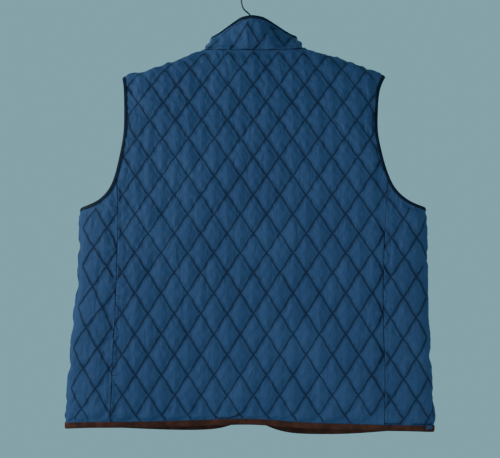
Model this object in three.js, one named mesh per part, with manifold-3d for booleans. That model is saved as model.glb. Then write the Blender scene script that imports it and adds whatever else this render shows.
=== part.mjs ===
// Quilted vest, size XL, hanging on a plain hanger. Millimetres, +Z up.
// Origin: the inner top of the hook, where a rail carries it.
// The back of the vest faces -Y, its front faces +Y, the hanger lies in the plane Y = 0.

import * as THREE from 'three';
import { mergeVertices } from 'three/addons/utils/BufferGeometryUtils.js';
import Module from 'manifold-3d';

const wasm = await Module();
wasm.setup();

// Cloth and sewing.
const wall = 1.8;             // cloth at a stitch line, outer and lining with the flattened fill
const puff = 4.2;             // rise of a padded diamond above its stitch lines
const shoulderPuff = 3.3;     // rise of the ring halfway out from a diamond's middle
const meanFace = 2.5;         // height inside the wall at which the body's sections are given
const quiltWidth = 23.3;      // half a diamond across
const quiltHeight = 36.5;     // half a diamond up and down
const liningFacet = 4;        // facet of the plain lining, in half steps of the quilting
const upperTakeUp = 1.065;    // stitch rows lie this much closer on the upper back
const levelRow = -540.4;      // height of the crossing row from which the quilting is counted
const shoulderGap = 1.0;      // gap between back and front along the shoulder ridge
const seamGap = 0.5;          // gap between two panels at a seam
const bindingWall = 0.8;      // thickness of the binding tape
const bindingPlay = 1.0;      // room between tape and cloth
const collarPlay = 1.4;       // the same on the collar, which curves more
const hemBindingWidth = 12.5;
const armholeBindingWidth = 7.0;
const collarBindingWidth = 7.0;
const frontOverlap = 20;      // each front passes the centre line by this much
const overlapLift = 7.6;      // the upper front stands off the lower one by this much
const outlineStep = 11;       // facet of a neck edge
const bindingStep = 62;       // longest facet of a binding, on a straight run
const clothSag = 3.2;         // most that a facet of the cloth lies off its true curve
const tapedSag = 0.6;         // the same under a tape
const refinePasses = 4;       // rounds in which a panel's longest bent edges are halved
const collarSag = 0.42;       // the same for the collar's
const bindingSag = 0.6;       // the same for a binding
const longestFacet = 90;      // of the lining

// Press studs.
const studRadius = 7;
const studHeight = 2.4;
const studOffset = -1.5;      // X of the row of studs
const studRows = [-240, -348, -456, -564, -672, -770];

// Hanger and hook.
const wireRadius = 1.6;
const hookRadius = 20;        // centre line of the hook's bend
const barWidth = 12;
const barHeight = 16;
const barReach = 204;         // half length of the hanger
const barClearance = 5.4;     // cloth surface to the top of the bar
const barCentreTop = -111;
const shankDepth = 10;        // wire inside the bar

const navy = new THREE.Color(0.045, 0.085, 0.15);
const darkNavy = new THREE.Color(0.025, 0.045, 0.085);
const brown = new THREE.Color(0.07, 0.035, 0.022);
const black = new THREE.Color(0.03, 0.03, 0.032);

function table(columns, rows) {
  const names = columns.split(' ');
  return rows.map((row) => Object.fromEntries(names.map((name, i) => [name, row[i]])));
}

// Horizontal sections of the hanging body: half widths to the fold of each side, and the depth
// of the back, of the side fold and of the front, with the roundness of the two quarters.
const sections = table('z left right back side front backRound frontRound', [
  [-900, 344, 334, -67, -38, -14, 5.5, 3.0],
  [-870, 342.7, 333.3, -68, -38, -12, 5.5, 3.0],
  [-815, 339.2, 330.3, -72, -40, -6, 5.5, 3.0],
  [-732, 331.7, 324.3, -79, -43, 6, 5.5, 3.0],
  [-642, 323.7, 318.8, -84, -45, 17, 5.5, 3.0],
  [-536, 312.2, 315.3, -86, -44, 28, 5.5, 3.0],
  [-427, 311.2, 314.8, -81, -38, 36, 5.0, 3.0],
  [-323, 304.7, 305.3, -70, -29, 39, 4.2, 2.8],
  [-250, 290.7, 290.3, -57, -17, 38, 3.2, 2.6],
  [-210, 271.7, 273.3, -47, -9, 36, 2.7, 2.4],
  [-180, 242.7, 252.3, -39, -3, 33, 2.4, 2.3],
  [-164, 191.7, 217.3, -34, -1, 30, 2.3, 2.2],
  [-143, 134.7, 166.3, -26, 0, 26, 2.1, 2.1],
  [-126, 90.7, 107.3, -21, 1, 20, 2.0, 2.0],
  [-108, 55.7, 56.3, -19, 1, 14, 2.0, 2.0],
  [-90, 30, 30, -18, 1, 10, 2.0, 2.0],
]);

// Back edges of the armholes, as the distance from the centre back at each height.
const armholeBack = table('z left right', [
  [-183, 246.5, 251], [-195, 240, 242], [-208, 237, 236], [-228, 235, 231.5], [-257, 232.7, 229],
  [-285, 231.6, 226.8], [-304, 233.2, 228.6], [-322, 236.4, 232.4], [-340, 239.5, 235.8],
  [-358, 243, 241], [-376, 248, 247.5], [-385, 251.5, 252], [-394, 256.5, 258], [-404, 265, 268],
  [-413, 276.5, 281], [-421, 296, 302],
]);
const armholeFront = table('z left right', [
  [-183, 246, 250], [-195, 236, 238], [-208, 229, 231], [-228, 222, 224], [-257, 216, 217],
  [-285, 213, 214], [-304, 213, 214], [-322, 215, 216], [-340, 219, 220], [-358, 225, 226],
  [-376, 234, 235], [-385, 240, 241], [-394, 248, 249], [-404, 260, 261], [-413, 275, 276],
  [-421, 298, 300],
]);
const armholeFloor = { left: -428.5, right: -426.5 };
const shoulderTip = { left: -180.5, right: -178 };
const neckPoint = { left: -125.3, right: -122.6 };

// Seams between the back and the fronts, as the distance from the centre back.
const sideSeams = table('z left right', [
  [-372, 242, 243], [-403, 239.3, 240.2], [-430, 237.9, 237.6], [-466, 237.4, 235.6],
  [-501, 238.8, 233.8], [-537, 239.6, 232.8], [-581, 241.3, 232.2], [-625, 243.2, 232.6],
  [-679, 246.2, 234.6], [-733, 249.4, 236.6], [-802, 253.1, 236.4], [-840, 254.5, 235],
]);

// Lower edge of the binding: across the back, then across each front from its side inwards.
const hemBack = table('across z', [
  [-360, -829], [-312, -822.5], [-256, -820.5], [-182, -819.5], [-111, -817.5], [-43, -814.5],
  [0, -813.7], [53, -818.8], [102, -822.2], [176, -823.5], [231, -826], [273, -828], [330, -831.5],
]);
const hemFront = table('fromCentre left right', [
  [424, -820.5, -826.3], [380, -823.5, -829], [345, -829, -832.5], [300, -831, -835], [255, -834, -840.5],
  [205, -837.5, -845], [155, -839.5, -848], [116, -840.5, -847.5],
]);
const hemCorner = {
  left: { start: 104, low: -840.5, rise: 54 },
  right: { start: 96, low: -847.2, rise: 72 },
};

// Neckline: across the back, and down each front; `across` is a share of the half neck width.
const neckBack = table('across z', [
  [0, -132], [0.35, -131.8], [0.6, -131], [0.8, -129], [0.93, -127],
]);
const neckFront = table('across z', [
  [0.96, -137], [0.9, -150], [0.79, -171], [0.64, -190], [0.45, -204], [0.24, -212], [0, -214.5],
  [-0.22, -214.5],
]);

// Stand collar: how far its top edge lies from the neckline, at shares of the way round from
// the centre back to the centre front.
const collarLean = table('share outward forward upward', [
  [0, 0, 4, 67], [0.08, -2, 8, 64.5], [0.16, -6, 19, 57.5], [0.22, -8, 28, 51], [0.28, -10, 36, 43],
  [0.34, -11, 41, 36.5], [0.44, -12, 44.5, 31.5], [0.58, -11, 43, 37], [0.75, -7, 34, 47],
  [0.9, -2, 26, 54], [1.05, 0, 23, 55],
]);
const collarHeight = 63;
const collarBow = 2.5;        // outward bow of the band halfway up

// Curves through table rows.

// Smooth, overshoot-free curve through rising keys.
function smoothCurve(keys, values) {
  const n = keys.length;
  const step = keys.slice(1).map((k, i) => k - keys[i]);
  const slope = step.map((h, i) => (values[i + 1] - values[i]) / h);
  const tangent = values.map((v, i) => {
    if (i === 0) return slope[0];
    if (i === n - 1) return slope[n - 2];
    if (slope[i - 1] * slope[i] <= 0) return 0;
    const w1 = 2 * step[i] + step[i - 1];
    const w2 = step[i] + 2 * step[i - 1];
    return (w1 + w2) / (w1 / slope[i - 1] + w2 / slope[i]);
  });
  return (key) => {
    const q = Math.min(Math.max(key, keys[0]), keys[n - 1]);
    let i = 0;
    while (i < n - 2 && q > keys[i + 1]) i++;
    const t = (q - keys[i]) / step[i];
    const s = 1 - t;
    return (1 + 2 * t) * s * s * values[i] + t * s * s * step[i] * tangent[i]
      + t * t * (3 - 2 * t) * values[i + 1] + t * t * (t - 1) * step[i] * tangent[i + 1];
  };
}

function curveOf(rows, key, column) {
  const sorted = [...rows].sort((a, b) => a[key] - b[key]);
  return smoothCurve(sorted.map((r) => r[key]), sorted.map((r) => r[column]));
}

function smoothStep(from, to, value) {
  const t = Math.min(Math.max((value - from) / (to - from), 0), 1);
  return t * t * (3 - 2 * t);
}

// Points along a polyline at about equal steps, on a smooth curve through its points.
function resample(points, step) {
  const curve = new THREE.CatmullRomCurve3(
    points.map(([x, y]) => new THREE.Vector3(x, y, 0)), false, 'centripetal');
  curve.arcLengthDivisions = 400;
  const count = Math.max(2, Math.round(curve.getLength() / step));
  return curve.getSpacedPoints(count).map((p) => [p.x, p.y]);
}

// The hanging body.
// A place on the body is a side (-1 left, +1 right), the distance round from the centre back
// along the horizontal section, and the height.

const sideName = (side) => (side < 0 ? 'left' : 'right');
const sectionCurve = {};
for (const column of ['left', 'right', 'back', 'side', 'front', 'backRound', 'frontRound']) {
  sectionCurve[column] = curveOf(sections, 'z', column);
}
const quarterPoints = 44;
const sectionStep = 3;
const lowestSection = -897;
const highestSection = -93;

function halfSection(side, z) {
  const width = sectionCurve[sideName(side)](z);
  const back = sectionCurve.back(z);
  const middle = sectionCurve.side(z);
  const front = sectionCurve.front(z);
  const quarter = (end, round) => Array.from({ length: quarterPoints + 1 }, (_, i) => {
    const angle = (Math.PI / 2) * (i / quarterPoints) ** (round / 2);
    return [width * Math.sin(angle) ** (2 / round), middle + (end - middle) * Math.cos(angle) ** (2 / round)];
  });
  const rear = quarter(back, sectionCurve.backRound(z));
  const fore = quarter(front, sectionCurve.frontRound(z)).reverse();
  fore[0] = [width, middle];
  rear[quarterPoints] = [width, middle];
  const points = [...rear, ...fore.slice(1)];
  const length = [0];
  for (let i = 1; i < points.length; i++) {
    length.push(length[i - 1] + Math.hypot(points[i][0] - points[i - 1][0], points[i][1] - points[i - 1][1]));
  }
  return { points, length, fold: length[quarterPoints], total: length[length.length - 1] };
}

const sectionStore = {};
for (const side of [-1, 1]) {
  sectionStore[side] = [];
  for (let z = lowestSection; z <= highestSection; z += sectionStep) {
    sectionStore[side].push(halfSection(side, z));
  }
}

function between(side, z) {
  const list = sectionStore[side];
  const place = Math.min(Math.max((z - lowestSection) / sectionStep, 0), list.length - 1.0001);
  const i = Math.floor(place);
  return [list[i], list[i + 1], place - i];
}

function foldDistance(side, z) {
  const [a, b, t] = between(side, z);
  return a.fold * (1 - t) + b.fold * t;
}

function totalDistance(side, z) {
  const [a, b, t] = between(side, z);
  return a.total * (1 - t) + b.total * t;
}

function alongSection(section, distance) {
  const { points, length } = section;
  if (distance <= 0) return [distance, points[0][1]];
  if (distance >= section.total) return [section.total - distance, points[points.length - 1][1]];
  let low = 0;
  let high = length.length - 1;
  while (high - low > 1) {
    const mid = (low + high) >> 1;
    if (length[mid] <= distance) low = mid;
    else high = mid;
  }
  const t = (distance - length[low]) / (length[high] - length[low]);
  return [
    points[low][0] + t * (points[high][0] - points[low][0]),
    points[low][1] + t * (points[high][1] - points[low][1]),
  ];
}

function bodySurface(side, distance, z) {
  const [a, b, t] = between(side, z);
  const total = a.total * (1 - t) + b.total * t;
  const lift = side < 0 ? overlapLift * (1 - smoothStep(23, 62, total - distance)) : 0;
  // distances are counted from the nearer end, so that front and back are both smooth in z
  const fromFront = distance > (a.fold * (1 - t) + b.fold * t);
  const lower = alongSection(a, fromFront ? a.total - (total - distance) : distance);
  const upper = alongSection(b, fromFront ? b.total - (total - distance) : distance);
  return new THREE.Vector3(
    side * (lower[0] * (1 - t) + upper[0] * t), lower[1] * (1 - t) + upper[1] * t + lift, z);
}

function bodyAxes(side, distance, z) {
  const e = 1.2;
  const across = bodySurface(side, distance + e, z).sub(bodySurface(side, distance - e, z));
  const upward = bodySurface(side, distance, z + e).sub(bodySurface(side, distance, z - e));
  across.divideScalar(2 * e);
  upward.divideScalar(2 * e);
  const normal = across.clone().cross(upward).multiplyScalar(side).normalize();
  return { across, upward, normal };
}

// The cloth's point at a height inside its wall: 0 on the lining, `wall` on a stitch line.
function onBody(side, distance, z, height) {
  const { normal } = bodyAxes(side, distance, z);
  return bodySurface(side, distance, z).addScaledVector(normal, height - meanFace);
}

// Distance up the cloth along one column of the pattern, counted from the level row.
const upStep = 3;
function makeColumns(place) {
  const store = new Map();
  function column(s) {
    const key = Math.round(s * 2) / 2;
    if (!store.has(key)) {
      const heights = [levelRow];
      const lengths = [0];
      let last = bodySurface(...place(key, levelRow));
      for (let z = levelRow + upStep; z < -96; z += upStep) {
        const next = bodySurface(...place(key, z));
        const dy = next.y - last.y;
        const dx = next.x - last.x;
        heights.push(z);
        const leaning = Math.hypot(Math.abs(dx) < 9 ? 0 : dx, dy, upStep);
        lengths.push(lengths[lengths.length - 1] + Math.min(leaning, 6) * upperTakeUp);
        last = next;
      }
      store.set(key, { heights, lengths });
    }
    return store.get(key);
  }
  const look = (from, to, value) => {
    let low = 0;
    let high = from.length - 1;
    if (value >= from[high]) return to[high] + (value - from[high]);
    while (high - low > 1) {
      const mid = (low + high) >> 1;
      if (from[mid] <= value) low = mid;
      else high = mid;
    }
    return to[low] + ((value - from[low]) / (from[high] - from[low])) * (to[high] - to[low]);
  };
  return {
    up: (s, z) => (z <= levelRow ? z - levelRow : look(column(s).heights, column(s).lengths, z)),
    height: (s, t) => (t <= 0 ? t + levelRow : look(column(s).lengths, column(s).heights, t)),
  };
}

// Quilted cloth, laid flat.

function polylineDistance(line, s, t) {
  let best = Infinity;
  for (let i = 1; i < line.length; i++) {
    const [ax, ay] = line[i - 1];
    const dx = line[i][0] - ax;
    const dy = line[i][1] - ay;
    const k = Math.min(Math.max(((s - ax) * dx + (t - ay) * dy) / (dx * dx + dy * dy || 1), 0), 1);
    best = Math.min(best, Math.hypot(s - ax - k * dx, t - ay - k * dy));
  }
  return best;
}

function solidOf(geometry) {
  const bare = geometry.clone();
  bare.deleteAttribute('normal');
  bare.deleteAttribute('uv');
  const merged = mergeVertices(bare, 1e-4);
  return new wasm.Manifold(new wasm.Mesh({
    numProp: 3,
    vertProperties: new Float32Array(merged.attributes.position.array),
    triVerts: new Uint32Array(merged.index.array),
  }));
}

function prism(outline, low, high) {
  const shape = new THREE.Shape(outline.map(([x, y]) => new THREE.Vector2(x, y)));
  const depth = high - low;
  const geometry = new THREE.ExtrudeGeometry(shape, { depth, bevelEnabled: false, curveSegments: 1 });
  geometry.translate(0, 0, low);
  return solidOf(geometry);
}

// A flat block of quilted cloth: diamonds raised in the outer face, the lining plain. Points are
// counted in half steps of the quilting. Even ones are crossings and middles of diamonds by
// turns, both odd is halfway along a stitch line, and an odd row between is a diamond's shoulder.
function quiltedBlock(origin, box, softness) {
  const whole = liningFacet;
  const p0 = whole * Math.floor((2 * (box.sMin - 1 - origin.s)) / (quiltWidth * whole));
  const p1 = whole * Math.ceil((2 * (box.sMax + 1 - origin.s)) / (quiltWidth * whole));
  const r0 = whole * Math.floor((2 * (box.tMin - 1 - origin.t)) / (quiltHeight * whole));
  const r1 = whole * Math.ceil((2 * (box.tMax + 1 - origin.t)) / (quiltHeight * whole));
  const positions = [];
  const places = new Map();
  const point = (p, r, face) => {
    const key = `${p},${r},${face}`;
    if (!places.has(key)) {
      const s = origin.s + (p * quiltWidth) / 2;
      const t = origin.t + (r * quiltHeight) / 2;
      let rise = 0;
      if (p % 2 === 0 && r % 2 !== 0) rise = shoulderPuff;
      else if (p % 2 === 0 && (p + r) % 4 !== 0) rise = puff;
      places.set(key, positions.length / 3);
      positions.push(s, t, face === 'lining' ? 0 : wall + (rise ? rise * softness(s, t) : 0));
    }
    return places.get(key);
  };
  const outer = (p, r) => point(p, r, 'outer');
  const lining = (p, r) => point(p, r, 'lining');
  const faces = [];
  for (let r = r0; r < r1; r += 2) {
    for (let p = p0; p < p1; p += 2) {
      const middle = outer(p + 1, r + 1);
      const rim = [outer(p, r), outer(p + 2, r), outer(p + 2, r + 1), outer(p + 2, r + 2),
        outer(p, r + 2), outer(p, r + 1)];
      rim.forEach((corner, i) => faces.push(middle, corner, rim[(i + 1) % rim.length]));
    }
  }
  for (let r = r0; r < r1; r += whole) {
    for (let p = p0; p < p1; p += whole) {
      const [a, b] = [lining(p, r), lining(p + whole, r)];
      const [c, d] = [lining(p + whole, r + whole), lining(p, r + whole)];
      faces.push(a, c, b, a, d, c);
    }
  }
  // side of the block: one lining facet against the row of outer points above it
  const strip = (a, b, row) => {
    faces.push(a, b, row[row.length - 1]);
    for (let i = 1; i < row.length; i++) faces.push(a, row[i], row[i - 1]);
  };
  const steps = (by) => Array.from({ length: whole / by + 1 }, (_, i) => i * by);
  for (let p = p0; p < p1; p += whole) {
    strip(lining(p, r0), lining(p + whole, r0), steps(2).map((i) => outer(p + i, r0)));
    strip(lining(p + whole, r1), lining(p, r1), steps(2).map((i) => outer(p + whole - i, r1)));
  }
  for (let r = r0; r < r1; r += whole) {
    strip(lining(p1, r), lining(p1, r + whole), steps(1).map((i) => outer(p1, r + i)));
    strip(lining(p0, r + whole), lining(p0, r), steps(1).map((i) => outer(p0, r + whole - i)));
  }
  return new wasm.Manifold(new wasm.Mesh({
    numProp: 3, vertProperties: new Float32Array(positions), triVerts: new Uint32Array(faces),
  }));
}

function faces(solid) {
  const mesh = solid.getMesh();
  const points = [];
  for (let i = 0; i < mesh.vertProperties.length; i += mesh.numProp) {
    points.push([mesh.vertProperties[i], mesh.vertProperties[i + 1], mesh.vertProperties[i + 2]]);
  }
  const triangles = [];
  for (let i = 0; i < mesh.triVerts.length; i += 3) {
    triangles.push([mesh.triVerts[i], mesh.triVerts[i + 1], mesh.triVerts[i + 2]]);
  }
  return { points, triangles };
}

// Joins corners closer than `reach` and drops the slivers that this closes.
function cleaned({ points, triangles }, reach) {
  const owner = points.map((_, i) => i);
  const find = (i) => {
    while (owner[i] !== i) i = owner[i];
    return i;
  };
  for (const tri of triangles) {
    for (let k = 0; k < 3; k++) {
      const a = find(tri[k]);
      const b = find(tri[(k + 1) % 3]);
      if (a === b) continue;
      const [p, q] = [points[a], points[b]];
      if (Math.hypot(p[0] - q[0], p[1] - q[1], p[2] - q[2]) < reach) owner[Math.max(a, b)] = Math.min(a, b);
    }
  }
  const kept = [];
  for (const tri of triangles) {
    const t = tri.map(find);
    if (t[0] !== t[1] && t[1] !== t[2] && t[2] !== t[0]) kept.push(t);
  }
  return { points, triangles: kept };
}

// Adds a point on each edge where `cutAt` gives a share between 0 and 1, and divides the
// triangles to match.
function divided({ points, triangles }, cutAt) {
  const middles = new Map();
  const middle = (a, b) => {
    const [low, high] = a < b ? [a, b] : [b, a];
    const key = `${low},${high}`;
    if (!middles.has(key)) {
      const share = cutAt(low, high);
      let index = -1;
      if (share > 0 && share < 1) {
        index = points.length;
        points.push(points[low].map((v, i) => v + share * (points[high][i] - v)));
      }
      middles.set(key, index);
    }
    return middles.get(key);
  };
  const next = [];
  for (const [a, b, c] of triangles) {
    const m = [middle(a, b), middle(b, c), middle(c, a)];
    const split = m.filter((i) => i >= 0).length;
    if (split === 0) {
      next.push([a, b, c]);
    } else if (split === 3) {
      next.push([a, m[0], m[2]], [m[0], b, m[1]], [m[2], m[1], c], [m[0], m[1], m[2]]);
    } else {
      // turn the triangle so that its first edge is cut, and in a pair the second one too
      let [i, j, k] = [a, b, c];
      let [mi, mj, mk] = m;
      while (!(mi >= 0 && (split === 1 || mj >= 0))) {
        [i, j, k] = [j, k, i];
        [mi, mj, mk] = [mj, mk, mi];
      }
      if (split === 1) next.push([i, mi, k], [mi, j, k]);
      else next.push([i, mi, k], [mi, j, mj], [mi, mj, k]);
    }
  }
  return { points, triangles: next };
}

// Divides each edge that lies too far off the curve of the hanging cloth, and each overlong edge
// of the lining.
function refined(flat, normalAt, taped) {
  let current = flat;
  for (let pass = 0; pass < refinePasses; pass++) {
    const normals = current.points.map((p) => normalAt(p[0], p[1]));
    const covered = current.points.map((p) => taped(p[0], p[1]));
    current = divided(current, (a, b) => {
      const [p, q] = [current.points[a], current.points[b]];
      const length = Math.hypot(p[0] - q[0], p[1] - q[1]);
      const sag = (length * normals[a].angleTo(normals[b])) / 8;
      if (length > longestFacet || sag > clothSag) return 0.5;
      if (covered[a] && covered[b]) return sag > tapedSag ? 0.5 : 0;
      return (covered[a] || covered[b]) && sag > 2 * tapedSag ? 0.5 : 0;
    });
  }
  return current;
}

// Presses the padding flat where tape covers it, with a clean line along the tape's inner edge.
function pressed(flat, line, width) {
  const depth = flat.points.map(([s, t, h]) => {
    const d = polylineDistance(line, s, t) - width;
    return h > wall / 2 ? d : 1e3;
  });
  const shareOf = (a, b) => {
    if (depth[a] > 900 || depth[b] > 900 || depth[a] * depth[b] >= 0) return 0;
    return depth[a] / (depth[a] - depth[b]);
  };
  for (const [a, b, c] of flat.triangles) {
    for (const [p, q] of [[a, b], [b, c], [c, a]]) {
      const share = shareOf(p, q);
      if (share > 0 && share < (depth[p] > 0 ? 0.16 : 0.03)) depth[p] = 0;
      else if (1 - share < (depth[q] > 0 ? 0.16 : 0.03)) depth[q] = 0;
    }
  }
  const cut = divided(flat, shareOf);
  cut.points.forEach((point, i) => {
    if ((i >= depth.length || depth[i] <= 0) && point[2] > wall) point[2] = wall;
  });
  return cut;
}

function toGeometry(positions, triangles) {
  const used = new Map();
  const array = [];
  const index = [];
  for (const tri of triangles) {
    for (const i of tri) {
      if (!used.has(i)) {
        used.set(i, used.size);
        array.push(positions[i].x, positions[i].y, positions[i].z);
      }
      index.push(used.get(i));
    }
  }
  let volume = 0;
  for (const [a, b, c] of triangles) {
    volume += positions[a].dot(positions[b].clone().cross(positions[c]));
  }
  if (volume < 0) {
    for (let i = 0; i < index.length; i += 3) [index[i], index[i + 1]] = [index[i + 1], index[i]];
  }
  const geometry = new THREE.BufferGeometry();
  geometry.setAttribute('position', new THREE.Float32BufferAttribute(array, 3));
  geometry.setIndex(index);
  geometry.computeVertexNormals();
  return geometry;
}

// Cuts a panel out of flat quilted cloth and hangs it.
// edges: polylines in pattern coordinates that close into the outline, in turn, each with the
// width of its flat margin and whether tape covers it.
function panel({ origin, edges, softness, drape, normalAt }) {
  const corners = edges.flatMap((edge) => edge.line.slice(0, -1));
  const outline = corners.filter(([x, y], i) => {
    const [px, py] = corners[(i + corners.length - 1) % corners.length];
    return Math.hypot(x - px, y - py) > 0.3;
  });
  const xs = outline.map((p) => p[0]);
  const ys = outline.map((p) => p[1]);
  const box = { sMin: Math.min(...xs), sMax: Math.max(...xs), tMin: Math.min(...ys), tMax: Math.max(...ys) };
  const soft = (s, t) => {
    let factor = softness ? softness(s, t) : 1;
    for (const edge of edges) {
      const inside = polylineDistance(edge.line, s, t);
      factor = Math.min(factor, smoothStep(edge.margin * 0.6, edge.margin + 13, inside));
    }
    return factor;
  };
  const cloth = quiltedBlock(origin, box, soft).intersect(prism(outline, -20, 60));
  let flat = cleaned(faces(cloth), 0.25);
  for (const edge of edges.filter((e) => e.bound)) flat = pressed(flat, edge.press ?? edge.line, edge.margin);
  const bound = edges.filter((e) => e.bound);
  const taped = (s, t) => bound.some((edge) => polylineDistance(edge.line, s, t) < edge.margin + 0.5);
  flat = refined(flat, normalAt, taped);
  return toGeometry(flat.points.map(([s, t, h]) => drape(s, t, h)), flat.triangles);
}

// Outlines on the body.

const seamCurve = {};
for (const side of [-1, 1]) seamCurve[side] = curveOf(sideSeams, 'z', sideName(side));
const hemBackCurve = curveOf(hemBack, 'across', 'z');
const hemFrontCurve = {};
for (const side of [-1, 1]) hemFrontCurve[side] = curveOf(hemFront, 'fromCentre', sideName(side));

// Lower edge of a front, as a height for each distance from the centre front.
function frontHem(side, fromCentre) {
  const corner = hemCorner[sideName(side)];
  if (fromCentre >= corner.start) return hemFrontCurve[side](fromCentre);
  const k = Math.min((corner.start - fromCentre) / (corner.start + frontOverlap), 1);
  const settle = smoothStep(0, 0.3, k);
  const low = hemFrontCurve[side](116) * (1 - settle) + corner.low * settle;
  return low + corner.rise * (1 - Math.sqrt(Math.max(1 - k * k, 0)));
}

// The armhole as a loop of [distance, height] from the shoulder tip down the back edge and up
// the front edge.
function armholeLoop(side) {
  const name = sideName(side);
  const tip = shoulderTip[name];
  const floor = armholeFloor[name];
  const rear = armholeBack.map((row) => [row[name], row.z]);
  const fore = armholeFront.map((row) => [totalDistance(side, row.z) - row[name], row.z]).reverse();
  return [[foldDistance(side, tip), tip], ...rear, [foldDistance(side, floor), floor], ...fore,
    [foldDistance(side, tip), tip]];
}

// Picks stations out of a fine path so that the straight run between two of them stays close to
// the path and to the cloth's face.
function stationIndices(points, normals, sag = bindingSag) {
  const picked = [0];
  const heading = (i) => points[Math.min(i + 1, points.length - 1)].clone()
    .sub(points[Math.max(i - 1, 0)]).normalize();
  let turned = 0;
  let run = 0;
  for (let i = 1; i < points.length; i++) {
    const turn = Math.max(heading(i).angleTo(heading(i - 1)), normals[i].angleTo(normals[i - 1]));
    const length = points[i].distanceTo(points[i - 1]);
    const sags = (turned + turn) * (run + length) > 8 * sag;
    if (picked.at(-1) !== i - 1 && (sags || run + length > bindingStep)) {
      picked.push(i - 1);
      turned = 0;
      run = 0;
    }
    turned += turn;
    run += length;
  }
  picked.push(points.length - 1);
  return picked;
}

// A bound edge of the body: its stations on the outer edge, and pulled inwards for the cloth.
// `inward` tells on which side of the path the cloth lies.
function boundEdge(fine, inward) {
  const points = fine.map((place) => bodySurface(...place));
  const normals = fine.map((place) => bodyAxes(...place).normal);
  const last = fine.length - 1;
  const ring = points[0].distanceTo(points[last]) < 0.01;
  return stationIndices(points, normals).map((i) => {
    const before = points[i > 0 ? i - 1 : ring ? last - 1 : 0];
    const after = points[i < last ? i + 1 : ring ? 1 : last];
    const along = after.clone().sub(before).normalize();
    const [side, distance, z] = fine[i];
    const inside = (depth) => [side, ...overCloth(side, distance, z, along, depth * inward)];
    return { place: fine[i], inside, station: (depth, height) => onBody(...inside(depth), height) };
  });
}

// The place reached from another one by going sideways from a direction, over the cloth.
function overCloth(side, distance, z, along, width) {
  const { across, upward, normal } = bodyAxes(side, distance, z);
  const way = normal.clone().cross(along).normalize().multiplyScalar(width);
  const aa = across.dot(across);
  const bb = upward.dot(upward);
  const ab = across.dot(upward);
  const wa = way.dot(across);
  const wb = way.dot(upward);
  const det = aa * bb - ab * ab;
  return [distance + (wa * bb - wb * ab) / det, z + (wb * aa - wa * ab) / det];
}

const tapeInset = bindingWall + 0.8;
const collarInset = bindingWall + 2.8;
const armholeMargin = armholeBindingWidth + 0.6;

// Back.

const backPlace = (s, z) => [s < 0 ? -1 : 1, Math.abs(s), z];
const backColumns = makeColumns(backPlace);
const toBackPattern = ([s, z]) => [s, backColumns.up(s, z)];

function neckBackLine(side) {
  const z0 = neckPoint[sideName(side)];
  const reach = foldDistance(side, z0);
  return resample([
    ...neckBack.map((row) => [row.across * reach, row.z]), [reach - shoulderGap / 2, z0],
  ], outlineStep);
}

function shoulderLine(side, offset) {
  const from = neckPoint[sideName(side)];
  const to = shoulderTip[sideName(side)];
  const line = [];
  for (let i = 0; i <= 24; i++) {
    const z = from + ((to - from) * i) / 24;
    line.push([foldDistance(side, z) + offset, z]);
  }
  return line;
}

const armholes = {};
for (const side of [-1, 1]) {
  const fine = resample(armholeLoop(side), 3.5).map(([distance, z]) => [side, distance, z]);
  armholes[side] = boundEdge(fine, -side);
}

// The cloth's edge inside the armhole's tape, split at the side seam.
function armholeEdge(side, part) {
  const path = armholes[side].map((stop) => stop.inside(tapeInset).slice(1));
  const past = ([distance, z]) => distance - seamCurve[side](z) - (part === 'back' ? -seamGap : seamGap) / 2;
  const turn = path.findIndex((place) => place[1] < -340 && past(place) > 0);
  const [a, b] = [path[turn - 1], path[turn]];
  const share = past(a) / (past(a) - past(b));
  const corner = [a[0] + share * (b[0] - a[0]), a[1] + share * (b[1] - a[1])];
  if (part === 'back') return [...path.slice(1, turn), corner];
  return [corner, ...path.slice(turn, -1)];
}

// The whole armhole, along which the tape presses the cloth.
const armholeRing = (side) => armholes[side].map((stop) => stop.inside(tapeInset).slice(1));

// Rows of a side seam, the same for both panels that meet there.
function seamRows(side, top, bottom, distanceAt) {
  const rows = [[distanceAt(top), top]];
  for (let z = -380; z > bottom + 8; z -= 24) if (z < top - 8) rows.push([distanceAt(z), z]);
  rows.push([distanceAt(bottom), bottom]);
  return rows;
}

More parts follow.
